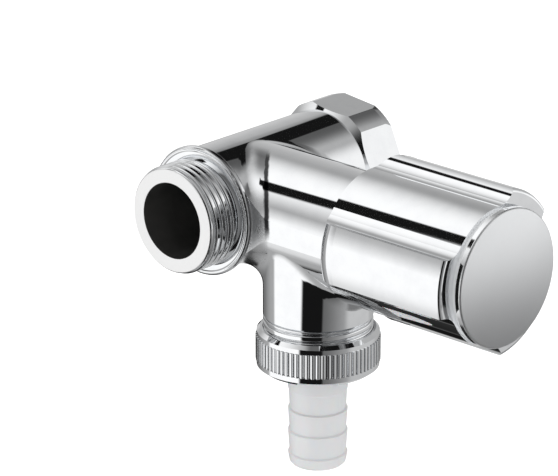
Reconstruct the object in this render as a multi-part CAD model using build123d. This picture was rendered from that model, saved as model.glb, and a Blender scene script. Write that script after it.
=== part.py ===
# Side connection valve for a washing machine or dishwasher.
# A chromed brass tee screws onto the wall outlet at its back (+Y), passes the water on to the
# front thread (-Y), and branches off to the side (+X) through a stop valve with a three-lobed
# handle. The branched water leaves downwards (-Z) through a check valve, a knurled union nut
# and a barbed plastic hose nozzle.
# Millimetres. Origin: centre of the back face, where the wall nipple screws in. +Z is up.
from build123d import *
from math import cos, hypot, pi, radians, sin
import os

# Running gaps
slide_gap = 0.10          # between pieces that turn or slide on each other
seat_gap = 0.10           # between a closed valve face and its seat
snug = 0.02               # between still pieces that fit closely
stroke_gap = 0.40         # left at the end of a stroke

# Pipe thread G 3/4: outside threads are cut to their root, the nut clears their crests
thread_root_r = 12.05
thread_crest_r = 13.22
socket_r = 12.06

# Main tube, along Y
tube_r = 14.9
tube_bore_r = 9.35
back_to_branch = 39.7     # back face to the branch axis
branch_to_front = 24.6    # branch axis to the front face
front_thread_len = 9.5
front_chamfer = 0.75
collar_r = 15.9
collar_len = 1.7
collar_round = 0.6
hex_across_flats = 30.9
hex_len = 12.0
hex_turn = 6.0            # how far the flats are turned about the tube from level
hex_corner_trim = 1.3     # turned off the sharp corners
hex_back_bevel = 0.3      # bevel of the trimmed corners at the back, along the radius
hex_back_bevel_len = 1.7
hex_front_bevel_slope = 0.82   # bevel length along Y for each mm of radius
socket_depth = 10.0
socket_chamfer = 0.4
gasket_r = 12.9
gasket_thick = 2.2
gasket_groove_r = 13.3

# Branch, along X
branch_r = 14.5
branch_end = 44.0
branch_bore_r = 9.6
chamber_start = 13.0
seat_x = 16.0             # the valve seat's face
seat_rim_r = 7.0
port_r = 5.2

# Outlet, along -Z
outlet_x = 24.5
outlet_r = 13.25
outlet_top_z = -4.0       # inside the branch
outlet_bore_r = 8.4
outlet_neck_z = -23.4     # where the plain outlet ends and its thread begins
outlet_end_z = -32.5
cartridge_top_z = -22.0
cartridge_bore_r = 9.6
tube_blend = 6.5          # fillet between the branch and the main tube
outlet_blend = 5.0        # fillet between the outlet and the branch
crossing_size = 1.0       # a crossing curve spans more than this in every direction

# Headwork
headwork_start = 33.5
headwork_seal_thick = 1.2
headwork_hex = 23.0
headwork_hex_len = 6.0
headwork_neck_r = 7.0
headwork_end = 58.0
plunger_hex = 10.6
pocket_r = 5.6
pocket_start = 40.6
pocket_end = 43.4
spindle_r = 4.0
spindle_collar_r = 5.2    # passes through the plunger's hexagonal guide
spindle_collar_len = 1.9
thrust_washer_thick = 0.8
o_ring_x = (48.5, 52.5)
o_ring_groove_len = 1.9
o_ring_floor_r = 2.65
clip_thick = 0.8
clip_r = 5.6
clip_groove_r = 3.3
clip_mouth = 5.3
spindle_thread_r = 3.0
spline_start = 61.0       # shoulder that stops the handle's bush
spline_r = 3.6
spline_teeth = 20
spline_depth = 0.45

# Plunger and seat washer
washer_thick = 3.0
washer_r = 6.9
washer_hole_r = 2.2
plunger_head_r = 7.8
plunger_head_len = 2.6
plunger_rim = 1.4         # how far the head's rim laps over the washer
plunger_end = 36.6
plunger_bore_start = 24.0
valve_lift = 3.75

# Screws
screw_shank_r = 2.0
screw_head_round = 0.3
screw_slot_w = 1.0
screw_slot_depth = 1.0
screw_end_gap = 1.0       # between a screw's end and the bottom of its hole
washer_screw_head_r = 3.6
washer_screw_head_len = 1.8
handle_screw_head_r = 5.6
handle_screw_head_len = 2.6
handle_screw_hole = 9.0

# Handle
handle_start = 41.2
handle_end = 80.0
handle_core_r = 16.8      # floor of the three flutes
handle_back_r = 16.4      # rim of the rounded back end
handle_lobe_r = 20.4
handle_shoulder = 6.0     # length over which the lobes round down to the back rim
lobe_count = 3
lobe_angle = 55.5         # the first lobe, from +Y towards +Z
lobe_half_angle = 20.0    # from a lobe's middle to its crease
flank_angle = 13.0        # from the crease to the foot of its concave flank
lobe_overrun = 2.0        # how far the drawn lobe runs past the turned outside
handle_edge_round = 0.9
handle_bore_r = 15.1
web_start = 62.5
web_end = 67.0
recess_r = 13.6
adapter_hex = 15.0
adapter_flange_r = 10.2
adapter_flange_thick = 1.6

# Handle cap
cap_r = 16.6
cap_stand = 1.4           # neck seen between the handle's end and the cap's rim
cap_rim = 1.5
cap_neck_r = 15.8
cap_edge_round = 0.45
cap_wall = 1.6
cap_plug_share = 0.46     # how far the plug fills the handle's recess

# Union nut and hose nozzle
nut_top_z = -26.8
nut_bottom_z = -37.1
nut_r = 15.0
nut_top_r = 13.9
nut_bottom_r = 13.6
nut_band_r = 14.75        # plain bands above and below the knurl
nut_edge_len = 0.9        # length of the bevels at both ends
knurl_top_z = -28.9
knurl_bottom_z = -34.9
knurl_count = 72
knurl_depth = 0.45
nut_lip_gap = 0.2         # round the nozzle's stem
outlet_gasket_thick = 1.5
outlet_gasket_hole_r = 7.5
nozzle_flange_thick = 1.4
nozzle_flange_r = 11.9
nozzle_stem_r = 7.2
nozzle_bore_r = 5.2
nozzle_bead_z = -42.5
nozzle_bead = 0.15        # step below the plain stem
barb_z = (-47.5, -53.1, -58.9)
barb_r = 7.2
barb_foot_r = 6.8
barb_shoulder = 0.35
nozzle_end_z = -62.0
nozzle_tip = 0.6

# Check valve cartridge
cage_r = 9.45
cage_seat_thick = 2.6
cage_wall = 1.3
cage_hole_r = 5.0
cage_hub_r = 2.6
cage_hub_len = 1.6
cage_arm_w = 1.6
cage_arms = 3
cage_ring_wire_r = 0.75
poppet_r = 6.3
poppet_thick = 1.3
poppet_stem_r = 1.2
poppet_nose_gap = 0.6
poppet_nose_tip_r = 1.5
poppet_nose_len = 1.2
spring_wire_r = 0.25
spring_mean_r = 2.2
spring_turns = 3
spring_end_gap = 0.05

# Worked-out places
branch_y = -back_to_branch
front_y = branch_y - branch_to_front
thread_back_y = front_y + front_thread_len
washer_start = seat_x + seat_gap
plunger_start = washer_start + washer_thick
spindle_start = plunger_bore_start + valve_lift + stroke_gap
headwork_flange_start = branch_end + headwork_seal_thick
headwork_flange_end = headwork_flange_start + headwork_hex_len
collar_start = pocket_end - thrust_washer_thick - spindle_collar_len
clip_start = headwork_end + snug
o_ring_wire_r = (spindle_r - o_ring_floor_r - snug) / 2
adapter_end = web_end + snug + adapter_flange_thick
spline_end = adapter_end - snug
handle_screw_seat = adapter_end + snug
cage_top_z = cartridge_top_z - snug
cage_seat_z = cage_top_z - cage_seat_thick
cage_ring_z = cage_top_z - cage_seat_thick / 2
cage_ring_floor_r = cartridge_bore_r - 2 * cage_ring_wire_r - 2 * snug
hub_top_z = outlet_end_z + cage_hub_len
poppet_top_z = cage_seat_z - seat_gap
poppet_bottom_z = poppet_top_z - poppet_thick
outlet_gasket_z = outlet_end_z - outlet_gasket_thick
flange_bottom_z = outlet_gasket_z - nozzle_flange_thick
nut_bore_r = thread_crest_r + slide_gap

along_x = Location((0, branch_y, 0), (0, 90, 0))
along_y = Location((0, 0, 0), (-90, 0, 0))
out_down = Location((outlet_x, branch_y, 0))


def rod(r, start, end):
    """A cylinder on the local Z axis between two heights."""
    return Pos(0, 0, (start + end) / 2) * Cylinder(r, abs(end - start))


def tube(r_out, r_in, start, end):
    return rod(r_out, start, end) - rod(r_in, start, end)


def hex_bar(across_flats, start, end):
    outline = RegularPolygon(across_flats / 2, 6, major_radius=False)
    return Pos(0, 0, min(start, end)) * extrude(outline, abs(end - start))


def turned(points):
    """A solid turned about the local Z axis from (radius, height) points."""
    outline = make_face(Polyline(*[(r, 0, z) for r, z in points], close=True))
    return revolve(outline, Axis.Z)


def spline_bar(tip_r, start, end, grow=0.0):
    """A toothed bar; grow makes the matching hole larger all round."""
    points = []
    for tooth in range(spline_teeth):
        for share, depth in ((0.0, spline_depth), (0.25, 0.0), (0.5, 0.0), (0.75, spline_depth)):
            angle = 2 * pi * (tooth + share) / spline_teeth
            r = tip_r + grow - depth
            points.append((r * cos(angle), r * sin(angle)))
    outline = make_face(Polyline(*points, close=True))
    return Pos(0, 0, start) * extrude(outline, end - start)


def slotted_screw(head_r, head_len, shank_len):
    """A pan-head screw seated at height 0, with its head towards local +Z."""
    head = rod(head_r, 0, head_len)
    head = fillet(head.edges().group_by(Axis.Z)[-1], screw_head_round)
    slot = Pos(0, 0, head_len) * Box(3 * head_r, screw_slot_w, 2 * screw_slot_depth)
    return head + rod(screw_shank_r, -shank_len, 0) - slot


def runs_across(edge):
    """True for a curve where crossing cylinders meet: it runs in all three directions."""
    size = edge.bounding_box().size
    return min(size.X, size.Y, size.Z) > crossing_size


def lies_on_outlet(edge):
    """True for the curve that the outlet's wall leaves on the branch."""
    places = [edge @ share for share in (0.1, 0.5, 0.9)]
    on_wall = all(abs(hypot(at.X - outlet_x, at.Y - branch_y) - outlet_r) < snug for at in places)
    return on_wall and edge.bounding_box().size.Z > snug


def back_end():
    """Hexagonal end for the spanner, with turned corners and two bevels."""
    corner_r = hex_across_flats / 2 / cos(pi / 6) - hex_corner_trim
    front_bevel = (corner_r - tube_r) * hex_front_bevel_slope
    envelope = turned([(0, 0), (corner_r - hex_back_bevel, 0), (corner_r, -hex_back_bevel_len),
                       (corner_r, front_bevel - hex_len), (tube_r, -hex_len), (0, -hex_len)])
    flats = Rot(0, 0, hex_turn) * hex_bar(hex_across_flats, -hex_len, 0)
    return along_y * (flats & envelope)


def front_end():
    """Front thread with its lead-in, and the rounded collar behind it."""
    thread = rod(thread_root_r, front_y, thread_back_y)
    thread = chamfer(thread.edges().group_by(Axis.Z)[0], front_chamfer)
    collar = rod(collar_r, thread_back_y, thread_back_y + collar_len)
    collar = fillet(collar.edges(), collar_round)
    return along_y * (thread + collar)


def cast_tee():
    """Main tube, branch and outlet, blended into each other as a casting is."""
    # The tube is drawn past the collar, so that its blend runs out under it, and cut back after.
    tube_part = along_y * rod(tube_r, 2 * front_y, 0)
    crossing = tube_part + along_x * rod(branch_r, 0, branch_end)
    crossing = fillet(crossing.edges().filter_by(runs_across), tube_blend)
    crossing = crossing & along_y * rod(2 * branch_end, thread_back_y + collar_len / 2, 0)
    tee = crossing + out_down * rod(outlet_r, outlet_neck_z, outlet_top_z)
    return fillet(tee.edges().filter_by(lies_on_outlet), outlet_blend)


def body_passages():
    """Everything that is bored out of the body."""
    mouth = turned([(0, 0), (socket_r + socket_chamfer, 0), (socket_r, -socket_chamfer), (0, -socket_chamfer)])
    main = rod(socket_r, -socket_depth, 0) + mouth
    main += rod(gasket_groove_r, -socket_depth - gasket_thick, -socket_depth)
    main += rod(tube_bore_r, front_y, 0)
    seat = tube(seat_rim_r, port_r, chamber_start, seat_x)
    side = rod(port_r, 0, branch_end) + (rod(branch_bore_r, chamber_start, branch_end) - seat)
    drop = rod(outlet_bore_r, outlet_end_z, 0) + rod(cartridge_bore_r, outlet_end_z, cartridge_top_z)
    return along_y * main + along_x * side + out_down * drop


def valve_body():
    outlet_thread = out_down * rod(thread_root_r, outlet_end_z, outlet_neck_z)
    return cast_tee() + back_end() + front_end() + outlet_thread - body_passages()


def inlet_gasket():
    return along_y * tube(gasket_r, tube_bore_r, -socket_depth - gasket_thick + snug, -socket_depth - snug)


def headwork_body():
    """Brass insert that screws into the branch, guides the plunger and carries the spindle."""
    outside = rod(branch_bore_r - snug, headwork_start, headwork_flange_start)
    outside += hex_bar(headwork_hex, headwork_flange_start, headwork_flange_end)
    outside += rod(headwork_neck_r, headwork_flange_end, headwork_end)
    guide = hex_bar(plunger_hex + 2 * slide_gap, headwork_start, pocket_start)
    pocket = rod(pocket_r, pocket_start, pocket_end)
    bore = rod(spindle_r + slide_gap, pocket_end, headwork_end)
    return along_x * (outside - guide - pocket - bore)


def headwork_seal():
    return along_x * tube(headwork_hex / 2, branch_bore_r, branch_end, headwork_flange_start)


def spindle():
    """Turned by the handle: operating thread, thrust collar, sealed journal and spline."""
    body = rod(spindle_thread_r, spindle_start, collar_start)
    body += rod(spindle_collar_r, collar_start, collar_start + spindle_collar_len)
    body += rod(spindle_r, collar_start, spline_start)
    body += spline_bar(spline_r, spline_start, spline_end)
    for x in o_ring_x:
        body -= tube(2 * spindle_r, o_ring_floor_r, x - o_ring_groove_len / 2, x + o_ring_groove_len / 2)
    body -= tube(2 * spindle_r, clip_groove_r, clip_start, clip_start + clip_thick + snug)
    body -= rod(screw_shank_r + snug, spline_end - handle_screw_hole, spline_end)
    return along_x * body


def spindle_thrust_washer():
    inner = spindle_r + slide_gap
    return along_x * tube(spindle_collar_r, inner, pocket_end - thrust_washer_thick + snug, pocket_end)


def spindle_o_ring(at):
    ring = Torus(o_ring_floor_r + snug + o_ring_wire_r, o_ring_wire_r)
    return along_x * Pos(0, 0, at) * ring


def spindle_clip():
    """Open retaining ring in the spindle's groove, outside the headwork."""
    ring = tube(clip_r, clip_groove_r + snug, clip_start, clip_start + clip_thick)
    mouth = Pos(0, clip_r, clip_start) * Box(clip_mouth, 2 * clip_r, 4 * clip_thick)
    return along_x * (ring - mouth)


def seat_plunger():
    """Hexagonal nut that the turning spindle draws along; its head holds the seat washer."""
    head = rod(plunger_head_r, plunger_start - plunger_rim, plunger_start + plunger_head_len)
    pocket = rod(washer_r + snug, plunger_start - plunger_rim, plunger_start)
    stem = hex_bar(plunger_hex, plunger_start + plunger_head_len, plunger_end)
    thread = rod(spindle_thread_r + slide_gap, plunger_bore_start, plunger_end)
    tapped = rod(screw_shank_r + snug, plunger_start, plunger_bore_start)
    return along_x * (head - pocket + stem - thread - tapped)


def seat_washer():
    return along_x * tube(washer_r, washer_hole_r, washer_start, plunger_start)


def washer_screw():
    shank = plunger_bore_start - washer_start - screw_end_gap
    screw = slotted_screw(washer_screw_head_r, washer_screw_head_len, shank)
    return along_x * Pos(0, 0, washer_start) * Rot(0, 180, 0) * screw


def on_handle(r, angle):
    """A point of the handle's section at an angle from +Y towards +Z, as along_x lays it."""
    return (-r * sin(angle), r * cos(angle))


def lobe_flank(middle, side):
    """Foot, half-way and crease points of one concave flank, and where the lobe's side runs out."""
    drop = handle_lobe_r * cos(radians(flank_angle))
    flank_r = (handle_lobe_r ** 2 + handle_core_r ** 2 - 2 * handle_core_r * drop) / (2 * (drop - handle_core_r))
    foot_angle = middle + side * radians(lobe_half_angle + flank_angle)
    centre = Vector(*on_handle(handle_core_r + flank_r, foot_angle))
    foot = Vector(*on_handle(handle_core_r, foot_angle))
    crease = Vector(*on_handle(handle_lobe_r, middle + side * radians(lobe_half_angle)))
    half_way = centre + ((foot + crease) / 2 - centre).normalized() * flank_r
    run_out = crease + (crease - half_way).normalized() * lobe_overrun
    return foot, half_way, crease, run_out


def handle_section():
    """Core circle with three lobes; concave flanks leave the core without a corner."""
    edges = []
    for lobe in range(lobe_count):
        middle = radians(lobe_angle + 360 / lobe_count * lobe)
        near = lobe_flank(middle, -1)
        far = lobe_flank(middle, 1)
        top = on_handle(handle_lobe_r + lobe_overrun, middle)
        floor_middle = on_handle(handle_core_r, middle + pi / lobe_count)
        next_foot = lobe_flank(middle + 2 * pi / lobe_count, -1)[0]
        edges += [ThreePointArc(*near[:3]), Line(near[2], near[3]), ThreePointArc(near[3], top, far[3]),
                  Line(far[3], far[2]), ThreePointArc(far[2], far[1], far[0]),
                  ThreePointArc(far[0], floor_middle, next_foot)]
    return make_face(Wire(edges))


def handle_outside():
    """Turned outside of the handle: rounded back shoulder, straight lobes, soft front edge."""
    shoulder_x = handle_start + handle_shoulder
    rise = handle_lobe_r - handle_back_r
    bulge = (handle_back_r + rise * sin(pi / 4), 0, shoulder_x - handle_shoulder * cos(pi / 4))
    soft = handle_edge_round * (1 - sin(pi / 4))
    back_rim = (handle_back_r, 0, handle_start)
    shoulder = (handle_lobe_r, 0, shoulder_x)
    edge_start = (handle_lobe_r, 0, handle_end - handle_edge_round)
    edge_end = (handle_lobe_r - handle_edge_round, 0, handle_end)
    outline = Wire([
        Line((0, 0, handle_start), back_rim),
        ThreePointArc(back_rim, bulge, shoulder),
        Line(shoulder, edge_start),
        ThreePointArc(edge_start, (handle_lobe_r - soft, 0, handle_end - soft), edge_end),
        Line(edge_end, (0, 0, handle_end)),
        Line((0, 0, handle_end), (0, 0, handle_start))])
    return revolve(make_face(outline), Axis.Z)


def handle_grip():
    lobed = Pos(0, 0, handle_start) * extrude(handle_section(), handle_end - handle_start)
    back_bore = rod(handle_bore_r, handle_start, web_start)
    key_hole = hex_bar(adapter_hex + 2 * snug, web_start, web_end)
    recess = rod(recess_r, web_end, handle_end)
    return along_x * ((lobed & handle_outside()) - back_bore - key_hole - recess)


def handle_adapter():
    """Plastic bush that keys the handle to the splined spindle."""
    flange = rod(adapter_flange_r, web_end + snug, adapter_end)
    key = hex_bar(adapter_hex, spline_start + snug, web_end + snug)
    hole = spline_bar(spline_r, spline_start, adapter_end, snug)
    return along_x * (flange + key - hole)


def handle_screw():
    screw = slotted_screw(handle_screw_head_r, handle_screw_head_len, handle_screw_hole - screw_end_gap)
    return along_x * Pos(0, 0, handle_screw_seat) * screw


def handle_cap():
    """Round end cap: a thin disc on a narrower neck, with a hollow plug pressed into the handle."""
    rim_back = handle_end + cap_stand
    face = rim_back + cap_rim
    plug_start = handle_end - cap_plug_share * (handle_end - web_end)
    disc = rod(cap_r, rim_back, face)
    disc = fillet(disc.edges().group_by(Axis.Z)[-1], cap_edge_round)
    neck = rod(cap_neck_r, handle_end, rim_back)
    plug = rod(recess_r - snug, plug_start, handle_end)
    hollow = rod(recess_r - cap_wall, plug_start, rim_back)
    return along_x * (disc + neck + plug - hollow)


def union_nut():
    """Knurled nut whose inner lip pulls the nozzle's flange against the gasket."""
    bevel_top_z = nut_top_z - nut_edge_len
    bevel_bottom_z = nut_bottom_z + nut_edge_len
    outside = turned([(0, nut_top_z), (nut_top_r, nut_top_z), (nut_band_r, bevel_top_z),
                      (nut_band_r, bevel_bottom_z), (nut_bottom_r, nut_bottom_z), (0, nut_bottom_z)])
    outside += rod(nut_r, knurl_bottom_z, knurl_top_z)
    groove = Box(2 * knurl_depth, pi * nut_r / knurl_count, knurl_top_z - knurl_bottom_z)
    groove = Pos(nut_r, 0, (knurl_top_z + knurl_bottom_z) / 2) * groove
    outside -= [Rot(0, 0, 360 / knurl_count * index) * groove for index in range(knurl_count)]
    thread = rod(nut_bore_r, flange_bottom_z, nut_top_z)
    hole = rod(nozzle_stem_r + nut_lip_gap, nut_bottom_z, flange_bottom_z)
    return out_down * (outside - thread - hole)


def outlet_gasket():
    return out_down * tube(nozzle_flange_r, outlet_gasket_hole_r, outlet_gasket_z, outlet_end_z)


def hose_nozzle():
    """Barbed plastic tail: flange, plain stem, three barbs and a tapered end."""
    points = [(nozzle_bore_r, outlet_gasket_z), (nozzle_flange_r, outlet_gasket_z),
              (nozzle_flange_r, flange_bottom_z), (nozzle_stem_r, flange_bottom_z),
              (nozzle_stem_r, nozzle_bead_z), (nozzle_stem_r - nozzle_bead, nozzle_bead_z - nozzle_bead)]
    for z in barb_z:
        points += [(barb_foot_r, z), (barb_r, z - barb_shoulder)]
    points += [(barb_foot_r, nozzle_end_z + nozzle_tip), (barb_foot_r - nozzle_tip, nozzle_end_z),
               (nozzle_bore_r, nozzle_end_z)]
    return out_down * turned(points)


def check_valve_cage():
    """Plastic cartridge: seat ring at the top, cylinder wall, and a three-armed guide below."""
    shell = tube(cage_r, cage_r - cage_wall, outlet_end_z, cage_seat_z)
    seat = tube(cage_r, cage_hole_r, cage_seat_z, cage_top_z)
    half_groove = cage_ring_wire_r + snug
    groove = tube(2 * cage_r, cage_ring_floor_r, cage_ring_z - half_groove, cage_ring_z + half_groove)
    guide = rod(cage_hub_r, outlet_end_z, hub_top_z)
    arm_len = cage_r - cage_wall / 2
    arm = Pos(arm_len / 2, 0, (outlet_end_z + hub_top_z) / 2) * Box(arm_len, cage_arm_w, cage_hub_len)
    for index in range(cage_arms):
        guide += Rot(0, 0, 360 / cage_arms * index) * arm
    guide -= rod(poppet_stem_r + slide_gap, outlet_end_z, hub_top_z)
    return out_down * (shell + seat + guide - groove)


def check_valve_o_ring():
    ring = Torus(cage_ring_floor_r + snug + cage_ring_wire_r, cage_ring_wire_r)
    return out_down * Pos(0, 0, cage_ring_z) * ring


def check_valve_poppet():
    """Disc that closes against the seat from below, with a nose in the hole and a guide stem."""
    disc = rod(poppet_r, poppet_bottom_z, poppet_top_z)
    foot = (Align.CENTER, Align.CENTER, Align.MIN)
    nose = Cone(cage_hole_r - poppet_nose_gap, poppet_nose_tip_r, poppet_nose_len, align=foot)
    stem = rod(poppet_stem_r, outlet_end_z + stroke_gap, poppet_bottom_z)
    return out_down * (disc + Pos(0, 0, poppet_top_z) * nose + stem)


def check_valve_spring():
    low = hub_top_z + spring_wire_r + spring_end_gap
    high = poppet_bottom_z - spring_wire_r - spring_end_gap
    path = Helix((high - low) / spring_turns, high - low, spring_mean_r)
    section = Plane(origin=path @ 0, z_dir=path % 0) * Circle(spring_wire_r)
    return out_down * Pos(0, 0, low) * sweep(section, path=path)


pieces = {
    "valve_body": valve_body(),
    "inlet_gasket": inlet_gasket(),
    "headwork_body": headwork_body(),
    "headwork_seal": headwork_seal(),
    "spindle": spindle(),
    "spindle_thrust_washer": spindle_thrust_washer(),
    "spindle_o_ring_inner": spindle_o_ring(o_ring_x[0]),
    "spindle_o_ring_outer": spindle_o_ring(o_ring_x[1]),
    "spindle_clip": spindle_clip(),
    "seat_plunger": seat_plunger(),
    "seat_washer": seat_washer(),
    "washer_screw": washer_screw(),
    "handle_adapter": handle_adapter(),
    "handle_grip": handle_grip(),
    "handle_screw": handle_screw(),
    "handle_cap": handle_cap(),
    "union_nut": union_nut(),
    "outlet_gasket": outlet_gasket(),
    "hose_nozzle": hose_nozzle(),
    "check_valve_cage": check_valve_cage(),
    "check_valve_o_ring": check_valve_o_ring(),
    "check_valve_poppet": check_valve_poppet(),
    "check_valve_spring": check_valve_spring(),
}
os.makedirs("parts", exist_ok=True)
for name, piece in pieces.items():
    export_step(piece, f"parts/{name}.step")
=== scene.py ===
import math

import bmesh
import bpy
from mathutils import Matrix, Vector


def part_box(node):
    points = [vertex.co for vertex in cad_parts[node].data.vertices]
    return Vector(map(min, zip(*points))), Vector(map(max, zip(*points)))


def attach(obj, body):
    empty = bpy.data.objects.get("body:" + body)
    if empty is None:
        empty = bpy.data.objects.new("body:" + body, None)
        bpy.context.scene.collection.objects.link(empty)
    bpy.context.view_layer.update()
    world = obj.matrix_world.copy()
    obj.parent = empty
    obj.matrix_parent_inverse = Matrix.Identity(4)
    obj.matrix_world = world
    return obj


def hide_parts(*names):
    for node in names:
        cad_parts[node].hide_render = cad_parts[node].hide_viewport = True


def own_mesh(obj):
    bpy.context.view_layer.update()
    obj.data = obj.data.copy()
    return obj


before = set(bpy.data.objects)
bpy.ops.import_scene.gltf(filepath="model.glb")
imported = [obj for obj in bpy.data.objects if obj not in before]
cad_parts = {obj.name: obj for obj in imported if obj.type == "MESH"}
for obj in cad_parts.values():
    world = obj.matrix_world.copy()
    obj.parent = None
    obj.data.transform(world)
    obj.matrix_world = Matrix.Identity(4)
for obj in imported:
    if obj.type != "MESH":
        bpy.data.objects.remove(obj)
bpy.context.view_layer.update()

MM = 0.001
HAIR = 0.02 * MM
TURN = 2 * math.pi
DEGREES = 180 / math.pi
LOW, HIGH = 0, 1

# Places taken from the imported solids, in metres
nut_low, nut_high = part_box("union_nut")
FRONT_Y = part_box("valve_body")[LOW].y
OUTLET_X = (nut_low.x + nut_high.x) / 2
BRANCH_Y = (nut_low.y + nut_high.y) / 2
OUTLET_END_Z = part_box("outlet_gasket")[HIGH].z
CAP_FACE_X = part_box("handle_cap")[HIGH].x
NOZZLE_END_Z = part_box("hose_nozzle")[LOW].z

# Pipe thread G 3/4 and the places that it covers
THREAD_PITCH = 1.814 * MM
THREAD_CREST_R = 13.22 * MM
THREAD_ROOT_R = 12.35 * MM
FRONT_THREAD_LEN = 9.5 * MM
FACE_INNER_R = 9.36 * MM
FACE_OUTER_R = 12.55 * MM
RIM_R = 12.85 * MM
RIM_LEN = 0.75 * MM
FACE_SKIN = 0.012 * MM
FACE_RING_PITCH = 0.16 * MM
EDGE_LEN = 0.3 * MM
RUN_OUT_LEN = 1.1 * MM
INSIDE_WALL_R = 11.9 * MM
OUTLET_NECK_Z = -23.4 * MM
CREST_SHARE = 0.68
THREAD_STEPS = 144
FRONT_ROWS = 150
OUTLET_ROWS = 130

# Bore and wall socket
BORE_R = 9.45 * MM
SOCKET_R = 13.4 * MM
SOCKET_WALL_R = 11.9 * MM
SOCKET_FLOOR_Y = -12.3 * MM
SOCKET_THREAD_DEPTH = 0.5 * MM

# Places on the cast body, the handle, the cap and the nut that the finishes are fitted to
TUBE_R = 14.9 * MM
COLLAR_FACE_Y = -54.8 * MM
COLLAR_FACE_R = 14.1 * MM
COLLAR_CROWN = 110.0
COLLAR_LINE_R = 14.95 * MM
COLLAR_LINE_DEPTH = 0.14 * MM
CREASE_OFFSET = 6.3 * MM
CREASE_WOBBLE = 0.9 * MM
HANDLE_CORE_R = 16.8 * MM
LOBE_ANGLE = 55.5
LOBE_PITCH = 120.0
GROOVE_FROM, GROOVE_TO = 28.0, 34.3
GROOVE_SLOPE = 0.20
KNURL_COUNT = 72
KNURL_TOP_Z, KNURL_BOTTOM_Z = -28.9 * MM, -34.9 * MM
KNURL_RELIEF = 0.09 * MM
CAP_FACE_DEPTH = 0.35 * MM
CAP_RIM_LEN = 1.5 * MM
CAP_DOME = 6.0


class Wire:
    """A shader socket that takes part in Python arithmetic; each operator adds one Math node."""

    def __init__(self, sheet, socket):
        self.sheet = sheet
        self.socket = socket

    def _math(self, operation, *values):
        return self.sheet.add("ShaderNodeMath", {"operation": operation}, dict(enumerate(values)))

    def __add__(self, other):
        return self._math("ADD", self, other)

    def __radd__(self, other):
        return self._math("ADD", other, self)

    def __sub__(self, other):
        return self._math("SUBTRACT", self, other)

    def __rsub__(self, other):
        return self._math("SUBTRACT", other, self)

    def __mul__(self, other):
        return self._math("MULTIPLY", self, other)

    def __rmul__(self, other):
        return self._math("MULTIPLY", other, self)

    def __truediv__(self, other):
        return self._math("DIVIDE", self, other)

    def __pow__(self, other):
        return self._math("POWER", self, other)

    def above(self, limit):
        return self._math("GREATER_THAN", self, limit)

    def below(self, limit):
        return self._math("LESS_THAN", self, limit)

    def sine(self):
        return self._math("SINE", self)

    def cosine(self):
        return self._math("COSINE", self)

    def arcsine(self):
        return self._math("ARCSINE", self)

    def size(self):
        return self._math("ABSOLUTE", self)

    def fold(self, span):
        """Zigzag between 0 and span."""
        return self._math("PINGPONG", self, span)

    def root(self):
        return self._math("SQRT", self)

    def angle_to(self, other):
        """atan2(self, other)"""
        return self._math("ARCTAN2", self, other)

    def most(self, other):
        return self._math("MAXIMUM", self, other)

    def least(self, other):
        return self._math("MINIMUM", self, other)

    def rise(self, start, end, kind="SMOOTHSTEP"):
        """0 before start, 1 after end."""
        values = {0: self, 1: start, 2: end}
        return self.sheet.add("ShaderNodeMapRange", {"interpolation_type": kind}, values)

    def part(self, axis):
        return self.sheet.add("ShaderNodeSeparateXYZ", {}, {0: self}, output="XYZ".index(axis))


class Sheet:
    """A node tree of a material or of the world."""

    def __init__(self, owner):
        owner.use_nodes = True
        self.tree = owner.node_tree
        self.tree.nodes.clear()

    def add(self, kind, settings, values, output=0):
        node = self.tree.nodes.new(kind)
        for name, value in settings.items():
            setattr(node, name, value)
        for key, value in values.items():
            socket = node.inputs[key]
            if isinstance(value, Wire):
                self.tree.links.new(value.socket, socket)
            else:
                socket.default_value = value
        return Wire(self, node.outputs[output])

    def place(self):
        """The point in the model's frame, because every piece's object sits at the origin."""
        return self.add("ShaderNodeTexCoord", {}, {}, output="Object")

    def noise(self, scale, detail):
        values = {"Vector": self.place(), "Scale": scale, "Detail": detail}
        return self.add("ShaderNodeTexNoise", {}, values)

    def bump(self, height, distance, strength=1.0, under=None):
        values = {"Height": height, "Distance": distance, "Strength": strength}
        if under is not None:
            values["Normal"] = under
        return self.add("ShaderNodeBump", {}, values)

    def relief(self, height, under=None):
        """Shape given as a height in metres, on top of another normal."""
        return self.bump(height, 1.0, under=under)

    def blend(self, share, first, second):
        """Colour first where share is 0 and second where it is 1."""
        return self.add("ShaderNodeMix", {"data_type": "RGBA"}, {0: share, 6: first, 7: second}, output=2)

    def finish(self, **values):
        sockets = {name.replace("_", " "): value for name, value in values.items()}
        shader = self.add("ShaderNodeBsdfPrincipled", {}, sockets)
        self.add_output("ShaderNodeOutputMaterial", shader)

    def add_output(self, kind, shader):
        node = self.tree.nodes.new(kind)
        self.tree.links.new(shader.socket, node.inputs["Surface"])


def rgb(red, green, blue):
    return (red, green, blue, 1.0)


def new_material(name):
    material = bpy.data.materials.new(name)
    return material, Sheet(material)


PLATE = rgb(0.90, 0.91, 0.92)
# Near black for the painted shade and painted dark line in the branch's corner
CORNER_SHADE_BLACK = rgb(0.015, 0.015, 0.016)
FINE_SKIN = 0.01 * MM
TOOL_MARK_PITCH = 0.22 * MM


def plated(sheet):
    """Mirror chrome: faint polishing haze and the slow waviness of a polished casting."""
    haze = sheet.noise(260.0, 4.0)
    roughness = 0.022 + haze * 0.035
    colour = sheet.blend(haze.rise(0.35, 0.75), PLATE, rgb(0.86, 0.87, 0.885))
    wave = sheet.bump(sheet.noise(70.0, 1.0), 2 * FINE_SKIN, 0.25)
    return colour, roughness, wave


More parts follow.
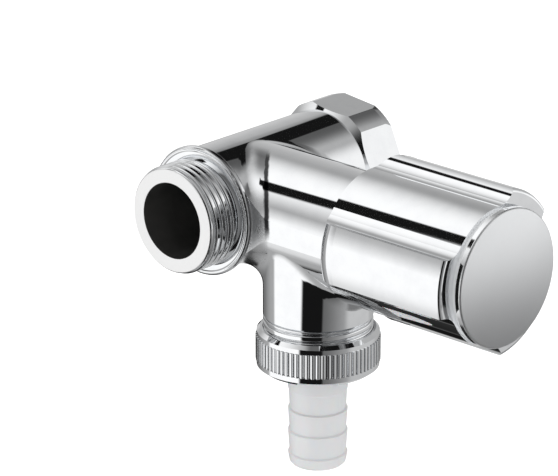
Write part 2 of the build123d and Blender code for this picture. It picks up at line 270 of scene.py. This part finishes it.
def chrome_handle():
    """Handle chrome, with the sharp foot of each concave flank beside the lobes."""
    material, sheet = new_material("chrome_handle")
    colour, roughness, wave = plated(sheet)
    place = sheet.place()
    angle = place.part("Z").angle_to(place.part("Y") - BRANCH_Y) * DEGREES
    from_lobe = (angle - LOBE_ANGLE).fold(LOBE_PITCH / 2)
    along_arc = HANDLE_CORE_R / DEGREES
    foot = (GROOVE_TO - from_lobe).most(0.0).least(GROOVE_TO - GROOVE_FROM)
    shape = sheet.relief(foot * (along_arc * GROOVE_SLOPE), wave)
    sheet.finish(Base_Color=colour, Metallic=1.0, Roughness=roughness, Normal=shape)
    return material


def chrome_nut():
    """Nut chrome, with the rounded backs of the knurl's ridges."""
    material, sheet = new_material("chrome_nut")
    colour, roughness, wave = plated(sheet)
    place = sheet.place()
    z = place.part("Z")
    angle = (place.part("Y") - BRANCH_Y).angle_to(place.part("X") - OUTLET_X)
    in_band = z.above(KNURL_BOTTOM_Z) * z.below(KNURL_TOP_Z)
    ridges = (angle * float(KNURL_COUNT)).cosine() * in_band * -KNURL_RELIEF
    sheet.finish(Base_Color=colour, Metallic=1.0, Roughness=roughness, Normal=sheet.relief(ridges, wave))
    return material


def off_tube(x, z):
    """How far a point lies outwards from the tube's round side, along the branch."""
    return x - (TUBE_R * TUBE_R - z * z).most(0.0).root()


def inner_corner(x, y, z, ripple):
    """Painted dark line and painted shade where the cast branch leaves the tube, on the front upper side.
    """
    out = off_tube(x, z) + (ripple - 0.5) * CREASE_WOBBLE
    line = 1 - (out - CREASE_OFFSET).size().rise(0.4 * MM, 1.05 * MM)
    line = line * z.rise(-3.0 * MM, 1.0 * MM) * (1 - z.rise(14.0 * MM, 14.5 * MM))
    shade = out.rise(-1.0 * MM, 4.5 * MM) * (1 - out.rise(CREASE_OFFSET, CREASE_OFFSET + 0.4 * MM))
    shade = shade * z.rise(9.5 * MM, 12.8 * MM) * 0.8
    front = (1 - (y - BRANCH_Y).rise(-5.0 * MM, -0.8 * MM)) * y.above(COLLAR_FACE_Y + 0.2 * MM)
    return (line * 0.96).most(shade) * front


def pocket(x, y, z):
    """The hollow between collar and branch, which a polishing wheel can't reach: the finish is rougher
    there, and its colour carries painted shade.
    """
    out = off_tube(x, z)
    depth = out.rise(-2.5 * MM, 0.5 * MM) * (1 - out.rise(5.8 * MM, 7.2 * MM))
    band = z.rise(-12.0 * MM, -8.0 * MM) * (1 - z.rise(5.0 * MM, 9.0 * MM))
    front = (1 - (y - BRANCH_Y).rise(-7.0 * MM, -3.0 * MM)) * y.above(COLLAR_FACE_Y + 0.4 * MM)
    return depth * band * front


def chrome_body():
    """Chrome outside, a dull dark bore, and a wall socket of bare brass with its thread."""
    material, sheet = new_material("chrome_body")
    colour, roughness, wave = plated(sheet)
    place = sheet.place()
    x, y, z = place.part("X"), place.part("Y"), place.part("Z")
    radius = (x * x + z * z).root()
    in_bore = radius.below(BORE_R) * y.above(FRONT_Y + HAIR)
    in_socket = radius.below(SOCKET_R) * y.above(SOCKET_FLOOR_Y) * y.below(-0.05 * MM)
    stain = sheet.noise(180.0, 5.0)
    brass = sheet.blend(stain, rgb(0.62, 0.45, 0.20), rgb(0.78, 0.60, 0.31))
    # The bore is coloured near black throughout, varying a little with the noise
    scale = sheet.blend(stain, rgb(0.016, 0.016, 0.016), rgb(0.052, 0.051, 0.048))
    colour = sheet.blend(in_bore, colour, scale)
    colour = sheet.blend(in_socket, colour, brass)
    dull = in_bore.most(in_socket)
    roughness = roughness * (1 - dull) + (0.34 + stain * 0.2) * dull
    unpolished_and_shaded = pocket(x, y, z)
    roughness = roughness + unpolished_and_shaded * (0.20 + stain * 0.1)
    turn = x.angle_to(z) / TURN
    groove = ((y / THREAD_PITCH + turn) * TURN).sine() * in_socket * radius.above(SOCKET_WALL_R)
    on_collar = y.below(COLLAR_FACE_Y + 0.1 * MM) * y.above(COLLAR_FACE_Y - 0.1 * MM)
    crowned = (radius - COLLAR_FACE_R) ** 2 * -COLLAR_CROWN
    turned_line = (radius - COLLAR_LINE_R).size().rise(0.04 * MM, 0.42 * MM) * COLLAR_LINE_DEPTH
    shape = sheet.relief(groove * SOCKET_THREAD_DEPTH + (crowned + turned_line) * on_collar, wave)
    # Painted shade in the hollow: its colour is darkened a quarter of the way towards dark grey, on top of
    # the rougher finish
    colour = sheet.blend(unpolished_and_shaded * 0.25, colour, rgb(0.10, 0.10, 0.10))
    # Painted shade: a dark line and a soft shade in the corner where the branch leaves the tube, blended
    # towards near black
    colour = sheet.blend(inner_corner(x, y, z, sheet.noise(420.0, 2.0)), colour, CORNER_SHADE_BLACK)
    sheet.finish(Base_Color=colour, Metallic=1 - in_bore * 0.85, Roughness=roughness, Normal=shape)
    return material


def cut_thread():
    """Chrome of both outer threads, with a satin turned end face at the front."""
    material, sheet = new_material("cut_thread")
    colour, roughness, wave = plated(sheet)
    place = sheet.place()
    x, y, z = place.part("X"), place.part("Y"), place.part("Z")
    radius = (x * x + z * z).root()
    on_face = y.below(FRONT_Y + 0.05 * MM)
    rings = (radius * (TURN / FACE_RING_PITCH)).sine()
    grain = sheet.noise(900.0, 4.0)
    face_colour = sheet.blend(grain, rgb(0.86, 0.86, 0.86), rgb(0.93, 0.93, 0.93))
    colour = sheet.blend(on_face, colour, face_colour)
    roughness = roughness * (1 - on_face) + (0.30 + grain * 0.12) * on_face
    tool_marks = sheet.bump((rings * 0.5 + grain) * on_face, FINE_SKIN, 0.35, wave)
    sheet.finish(Base_Color=colour, Metallic=1.0, Roughness=roughness, Normal=tool_marks)
    return material


def satin_cap():
    """Slightly domed matt face, polished rim, and the cap's pale plastic behind its plated rim."""
    material, sheet = new_material("satin_cap")
    place = sheet.place()
    across, up, along = place.part("Y") - BRANCH_Y, place.part("Z"), place.part("X")
    grain = sheet.noise(2600.0, 3.0)
    cloud = sheet.noise(90.0, 2.0)
    on_face = along.above(CAP_FACE_X - CAP_FACE_DEPTH)
    behind = along.below(CAP_FACE_X - CAP_RIM_LEN + HAIR)
    colour = sheet.blend(cloud, rgb(0.78, 0.79, 0.80), rgb(0.83, 0.84, 0.85))
    colour = sheet.blend(on_face.most(behind), PLATE, colour)
    roughness = 0.05 + grain * 0.03 + on_face * (0.25 + grain * 0.07) + behind * 0.4
    dome = sheet.relief((across * across + up * up) * on_face * -CAP_DOME)
    skin = sheet.bump(grain, FINE_SKIN, 0.25, dome)
    sheet.finish(Base_Color=colour, Metallic=1 - behind, Roughness=roughness, Normal=skin)
    return material


def moulded_plastic(name, dark, light, roughness, softness=0.0):
    material, sheet = new_material(name)
    cloud = sheet.noise(120.0, 3.0)
    grain = sheet.noise(1500.0, 2.0)
    skin = sheet.bump(grain, FINE_SKIN, 0.3)
    colour = sheet.blend(cloud, dark, light)
    sheet.finish(Base_Color=colour, Roughness=roughness + grain * 0.08, Normal=skin,
                 Subsurface_Weight=softness, Subsurface_Scale=2 * MM)
    return material


def turned_metal(name, dark, light, roughness, axis):
    """Lathe-turned metal with fine rings about the X axis of the branch or the Z axis of the outlet."""
    material, sheet = new_material(name)
    stain = sheet.noise(220.0, 4.0)
    rings = (sheet.place().part(axis) * (TURN / TOOL_MARK_PITCH)).sine()
    skin = sheet.bump(rings * 0.5 + stain, FINE_SKIN, 0.4)
    colour = sheet.blend(stain, dark, light)
    sheet.finish(Base_Color=colour, Metallic=1.0, Roughness=roughness + stain * 0.12, Normal=skin)
    return material


def rubber(name, dark, light, speck):
    material, sheet = new_material(name)
    grain = sheet.noise(speck, 4.0)
    skin = sheet.bump(grain, 3 * FINE_SKIN, 0.5)
    sheet.finish(Base_Color=sheet.blend(grain, dark, light), Roughness=0.55 + grain * 0.25, Normal=skin)
    return material


def paint(piece, material):
    """Gives the piece this material in every one of its slots."""
    slots = piece.material_slots
    if len(slots) == 0:
        piece.data.materials.append(material)
    for entry in slots:
        entry.material = material


def finish_nodes():
    brass = turned_metal("turned_brass", rgb(0.60, 0.43, 0.18), rgb(0.80, 0.62, 0.32), 0.22, "X")
    steel = turned_metal("stainless_steel", rgb(0.52, 0.52, 0.53), rgb(0.68, 0.68, 0.69), 0.24, "Z")
    seal = rubber("black_rubber", rgb(0.010, 0.010, 0.011), rgb(0.030, 0.030, 0.032), 500.0)
    fibre = rubber("fibre_gasket", rgb(0.25, 0.07, 0.04), rgb(0.42, 0.15, 0.09), 900.0)
    grey = moulded_plastic("grey_plastic", rgb(0.20, 0.21, 0.22), rgb(0.27, 0.28, 0.29), 0.38)
    milky = moulded_plastic("milky_plastic", rgb(0.60, 0.61, 0.62), rgb(0.66, 0.67, 0.68), 0.30, 0.25)
    made_of = {
        "valve_body": chrome_body(), "handle_grip": chrome_handle(), "union_nut": chrome_nut(),
        "handle_cap": satin_cap(), "hose_nozzle": milky,
        "headwork_body": brass, "spindle": brass, "seat_plunger": brass,
        "spindle_thrust_washer": brass, "spindle_clip": steel, "washer_screw": steel, "handle_screw": steel,
        "check_valve_spring": steel,
        "handle_adapter": grey, "check_valve_cage": grey, "check_valve_poppet": grey,
        "inlet_gasket": fibre, "headwork_seal": fibre, "outlet_gasket": seal, "seat_washer": seal,
        "spindle_o_ring_inner": seal, "spindle_o_ring_outer": seal, "check_valve_o_ring": seal,
    }
    for node, material in made_of.items():
        paint(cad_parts[node], material)
    return steel


def poppet_spring(material):
    """The check valve's coil spring, which stands for the stiff solid."""
    coil = bpy.data.objects.new("poppet_spring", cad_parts["check_valve_spring"].data.copy())
    bpy.context.scene.collection.objects.link(coil)
    paint(coil, material)
    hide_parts("check_valve_spring")
    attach(coil, "hose_tail")
    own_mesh(coil)


def thread_height(turns):
    """Polished pipe thread, 0 at the root and 1 at the crest: broad flat crests, narrow roots."""
    share = min(1.0, abs((turns % 1.0) * 2 - 1) / CREST_SHARE)
    return 1 - (1 - share) ** 3


def threaded_ring(name, rows, outline, material, place_point):
    """A closed ring whose radius depends on the turn: outline(row, turn) gives its radius and height."""
    verts = []
    for row in range(rows):
        for step in range(THREAD_STEPS):
            turn = step / THREAD_STEPS
            radius, height = outline(row, turn)
            verts.append(place_point(radius, TURN * turn, height))
    faces = []
    for row in range(rows):
        here, beyond = row * THREAD_STEPS, (row + 1) % rows * THREAD_STEPS
        for step in range(THREAD_STEPS):
            after = (step + 1) % THREAD_STEPS
            faces.append((here + step, beyond + step, beyond + after, here + after))
    mesh = bpy.data.meshes.new(name)
    mesh.from_pydata(verts, [], faces)
    shell = bmesh.new()
    shell.from_mesh(mesh)
    bmesh.ops.recalc_face_normals(shell, faces=shell.faces)
    shell.to_mesh(mesh)
    shell.free()
    mesh.update()
    for polygon in mesh.polygons:
        polygon.use_smooth = True
    piece = bpy.data.objects.new(name, mesh)
    bpy.context.scene.collection.objects.link(piece)
    paint(piece, material)
    return piece


def front_thread(material):
    """Thread ridges from the turned end face back to the run-out before the collar."""
    face_y, edge_y = FRONT_Y - FACE_SKIN, FRONT_Y + EDGE_LEN
    thread_start, thread_end = FRONT_Y + RIM_LEN, FRONT_Y + FRONT_THREAD_LEN
    # Rows close together keep the shading crisp at the edges of the end face
    lead = [(BORE_R, edge_y), (FACE_INNER_R, face_y), (FACE_INNER_R + 2 * HAIR, face_y),
            (FACE_OUTER_R - HAIR, face_y), (FACE_OUTER_R, face_y), (RIM_R - HAIR / 2, edge_y - HAIR),
            (RIM_R, edge_y)]

    def outline(row, turn):
        if row < len(lead):
            return lead[row]
        share = (row - len(lead)) / (FRONT_ROWS - 1)
        y = thread_start + share * (thread_end - thread_start)
        form = thread_height((y - thread_start) / THREAD_PITCH + turn + 0.1)
        fade = min(1.0, max(0.0, (thread_end - RUN_OUT_LEN - y) / (0.6 * MM)))
        enter = min(1.0, (y - thread_start) / (0.5 * MM))
        crest = THREAD_ROOT_R + (THREAD_CREST_R - THREAD_ROOT_R) * form * fade
        return (RIM_R + (crest - RIM_R) * enter, y)

    def place_point(radius, angle, height):
        return (radius * math.cos(angle), height, radius * math.sin(angle))
    piece = threaded_ring("front_thread", len(lead) + FRONT_ROWS, outline, material, place_point)
    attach(piece, "valve")


def outlet_thread(material):
    """Thread on the outlet, partly covered by the union nut."""
    top, bottom = OUTLET_NECK_Z, OUTLET_END_Z + HAIR

    def outline(row, turn):
        if row == 0:
            return (INSIDE_WALL_R, top)
        if row == OUTLET_ROWS + 1:
            return (INSIDE_WALL_R, bottom)
        share = (row - 1) / (OUTLET_ROWS - 1)
        z = top + share * (bottom - top)
        form = thread_height((top - z) / THREAD_PITCH + turn)
        enter = min(1.0, (top - z) / (0.5 * MM))
        leave = min(1.0, (z - bottom) / (0.8 * MM))
        return (THREAD_ROOT_R + (THREAD_CREST_R - THREAD_ROOT_R) * form * enter * leave, z)

    def place_point(radius, angle, height):
        return (OUTLET_X + radius * math.cos(angle), BRANCH_Y + radius * math.sin(angle), height)
    piece = threaded_ring("outlet_thread", OUTLET_ROWS + 2, outline, material, place_point)
    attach(piece, "valve")


# The photograph's camera: the point it looks at, its turn, rise and distance, and the picture's scale
CAMERA_AIM = Vector((11.671, -39.7, -7.902)) * MM
CAMERA_TURN = 46.838
CAMERA_RISE = 19.997
CAMERA_DISTANCE = 0.9573
CAMERA_FOCUS_PX = 4000.0
PICTURE_WIDTH_PX = 558


def make_camera():
    turn, rise = math.radians(CAMERA_TURN), math.radians(CAMERA_RISE)
    back = Vector((math.cos(turn) * math.cos(rise), -math.sin(turn) * math.cos(rise), math.sin(rise)))
    data = bpy.data.cameras.new("camera")
    data.sensor_width = 36.0
    data.lens = data.sensor_width * CAMERA_FOCUS_PX / PICTURE_WIDTH_PX
    data.clip_start, data.clip_end = 0.05, 50.0
    camera = bpy.data.objects.new("camera", data)
    camera.location = CAMERA_AIM + back * CAMERA_DISTANCE
    camera.rotation_mode = "QUATERNION"
    camera.rotation_quaternion = (-back).to_track_quat("-Z", "Y")
    bpy.context.scene.collection.objects.link(camera)
    bpy.context.scene.camera = camera


CARD_BLACK = 0.008
TENT_LIGHT = 1.08


def studio():
    """Light tent round the chrome: pale walls, a white side panel, a bright ceiling and dark cards."""
    world = bpy.data.worlds.new("studio")
    bpy.context.scene.world = world
    sheet = Sheet(world)
    way = sheet.add("ShaderNodeTexCoord", {}, {}, output="Generated")
    x, y, z = way.part("X"), way.part("Y"), way.part("Z")
    bearing = (0 - y).angle_to(0 - x) * DEGREES
    right_bearing = y.angle_to(x) * DEGREES
    height = z.arcsine() * DEGREES

    def between(value, low, high, soft):
        return value.rise(low - soft, low + soft) * (1 - value.rise(high - soft, high + soft))

    def towards(ax, ay, az):
        size = math.sqrt(ax * ax + ay * ay + az * az)
        return x * (ax / size) + y * (ay / size) + z * (az / size)

    def hang(card, light, behind):
        return behind + (light - behind) * card

    room = 0.13 + right_bearing.rise(-45, 40) * 0.33
    room = hang(between(bearing, -75, 100, 12), 0.42, room)
    left_wall = between(bearing, -62, -18, 8) * (1 - height.rise(-4, 36))
    room = hang(left_wall, 0.60, room)
    near_wall = between(bearing, -24, 30, 4) * (1 - height.rise(-15, 0))
    room = hang(near_wall, 0.17 + bearing.rise(-20, 25) * 0.25, room)
    side_panel = between(bearing, 29, 97, 4) * (1 - height.rise(-2, 17, "LINEAR")) * height.rise(-56, -24)
    room = hang(side_panel, 1.10, room)
    ceiling = towards(-0.60, -0.20, 0.77).rise(0.72, 1.05)
    room = hang(ceiling, 1.15, room)
    low_back = between(right_bearing, 14, 84, 8) * (1 - height.rise(-5, 6))
    room = hang(low_back, 0.20 + height.rise(-32, -7) * 0.95, room)
    back_panel = towards(0.72, 0.68, 0.20).rise(0.86, 1.0)
    room = hang(back_panel, 1.00, room)
    shade = towards(-0.20, 0.66, 0.72).rise(0.86, 1.0)
    room = hang(shade, 0.10, room)
    camera_side = between(bearing, 98, 141, 2.5) * (1 - height.rise(25, 40))
    over_branch = between(bearing, 24.5, 37.4, 1.2) * height.rise(22, 30) * (1 - height.rise(48.5, 50.5))
    over_tube = between(bearing, -77, -54.2, 1.2) * between(height, 25, 62, 4)
    under_wall = between(bearing, -43, -24, 3) * between(height, -60, -8, 4)
    underfoot = between(bearing, -42, 12, 6) * (1 - height.rise(-50, -42)) * 0.93
    dark = camera_side.most(underfoot).most(over_branch).most(over_tube).most(under_wall)
    room = hang(dark, CARD_BLACK, room)
    in_gloss = sheet.add("ShaderNodeLightPath", {}, {}, output="Is Glossy Ray")
    strength = hang(in_gloss, room, TENT_LIGHT)
    light = sheet.add("ShaderNodeBackground", {}, {"Color": rgb(1, 1, 1), "Strength": strength})
    sheet.add_output("ShaderNodeOutputWorld", light)


FLOOR_GAP = 12 * MM
FLOOR_HALF = 4.0
LAMP_PLACE = (0.0, -0.2, 2.0)


def make_floor():
    """A wide plain floor a little below the nozzle, as the valve hangs free."""
    half, level = FLOOR_HALF, NOZZLE_END_Z - FLOOR_GAP
    corners = [(-half, -half, level), (half, -half, level), (half, half, level), (-half, half, level)]
    mesh = bpy.data.meshes.new("floor")
    mesh.from_pydata(corners, [], [(0, 1, 2, 3)])
    floor = bpy.data.objects.new("floor", mesh)
    bpy.context.scene.collection.objects.link(floor)
    material, sheet = new_material("pale_floor")
    cloud = sheet.noise(3.0, 2.0)
    sheet.finish(Base_Color=sheet.blend(cloud, rgb(0.96, 0.96, 0.96), rgb(0.98, 0.98, 0.98)), Roughness=0.9,
                 Specular_IOR_Level=0.0, Emission_Color=rgb(1.0, 1.0, 1.0), Emission_Strength=0.22)
    paint(floor, material)
    floor.visible_glossy = False


def make_lights():
    """One large soft light overhead, which keeps the floor evenly pale."""
    data = bpy.data.lights.new("overhead", "AREA")
    data.size = 3.0
    data.energy = 6.0
    light = bpy.data.objects.new("overhead", data)
    light.location = LAMP_PLACE
    light.visible_glossy = False
    bpy.context.scene.collection.objects.link(light)


bpy.context.scene.view_settings.view_transform = "Standard"
make_camera()
studio()
make_lights()
make_floor()
steel = finish_nodes()
poppet_spring(steel)
thread_metal = cut_thread()
front_thread(thread_metal)
outlet_thread(thread_metal)
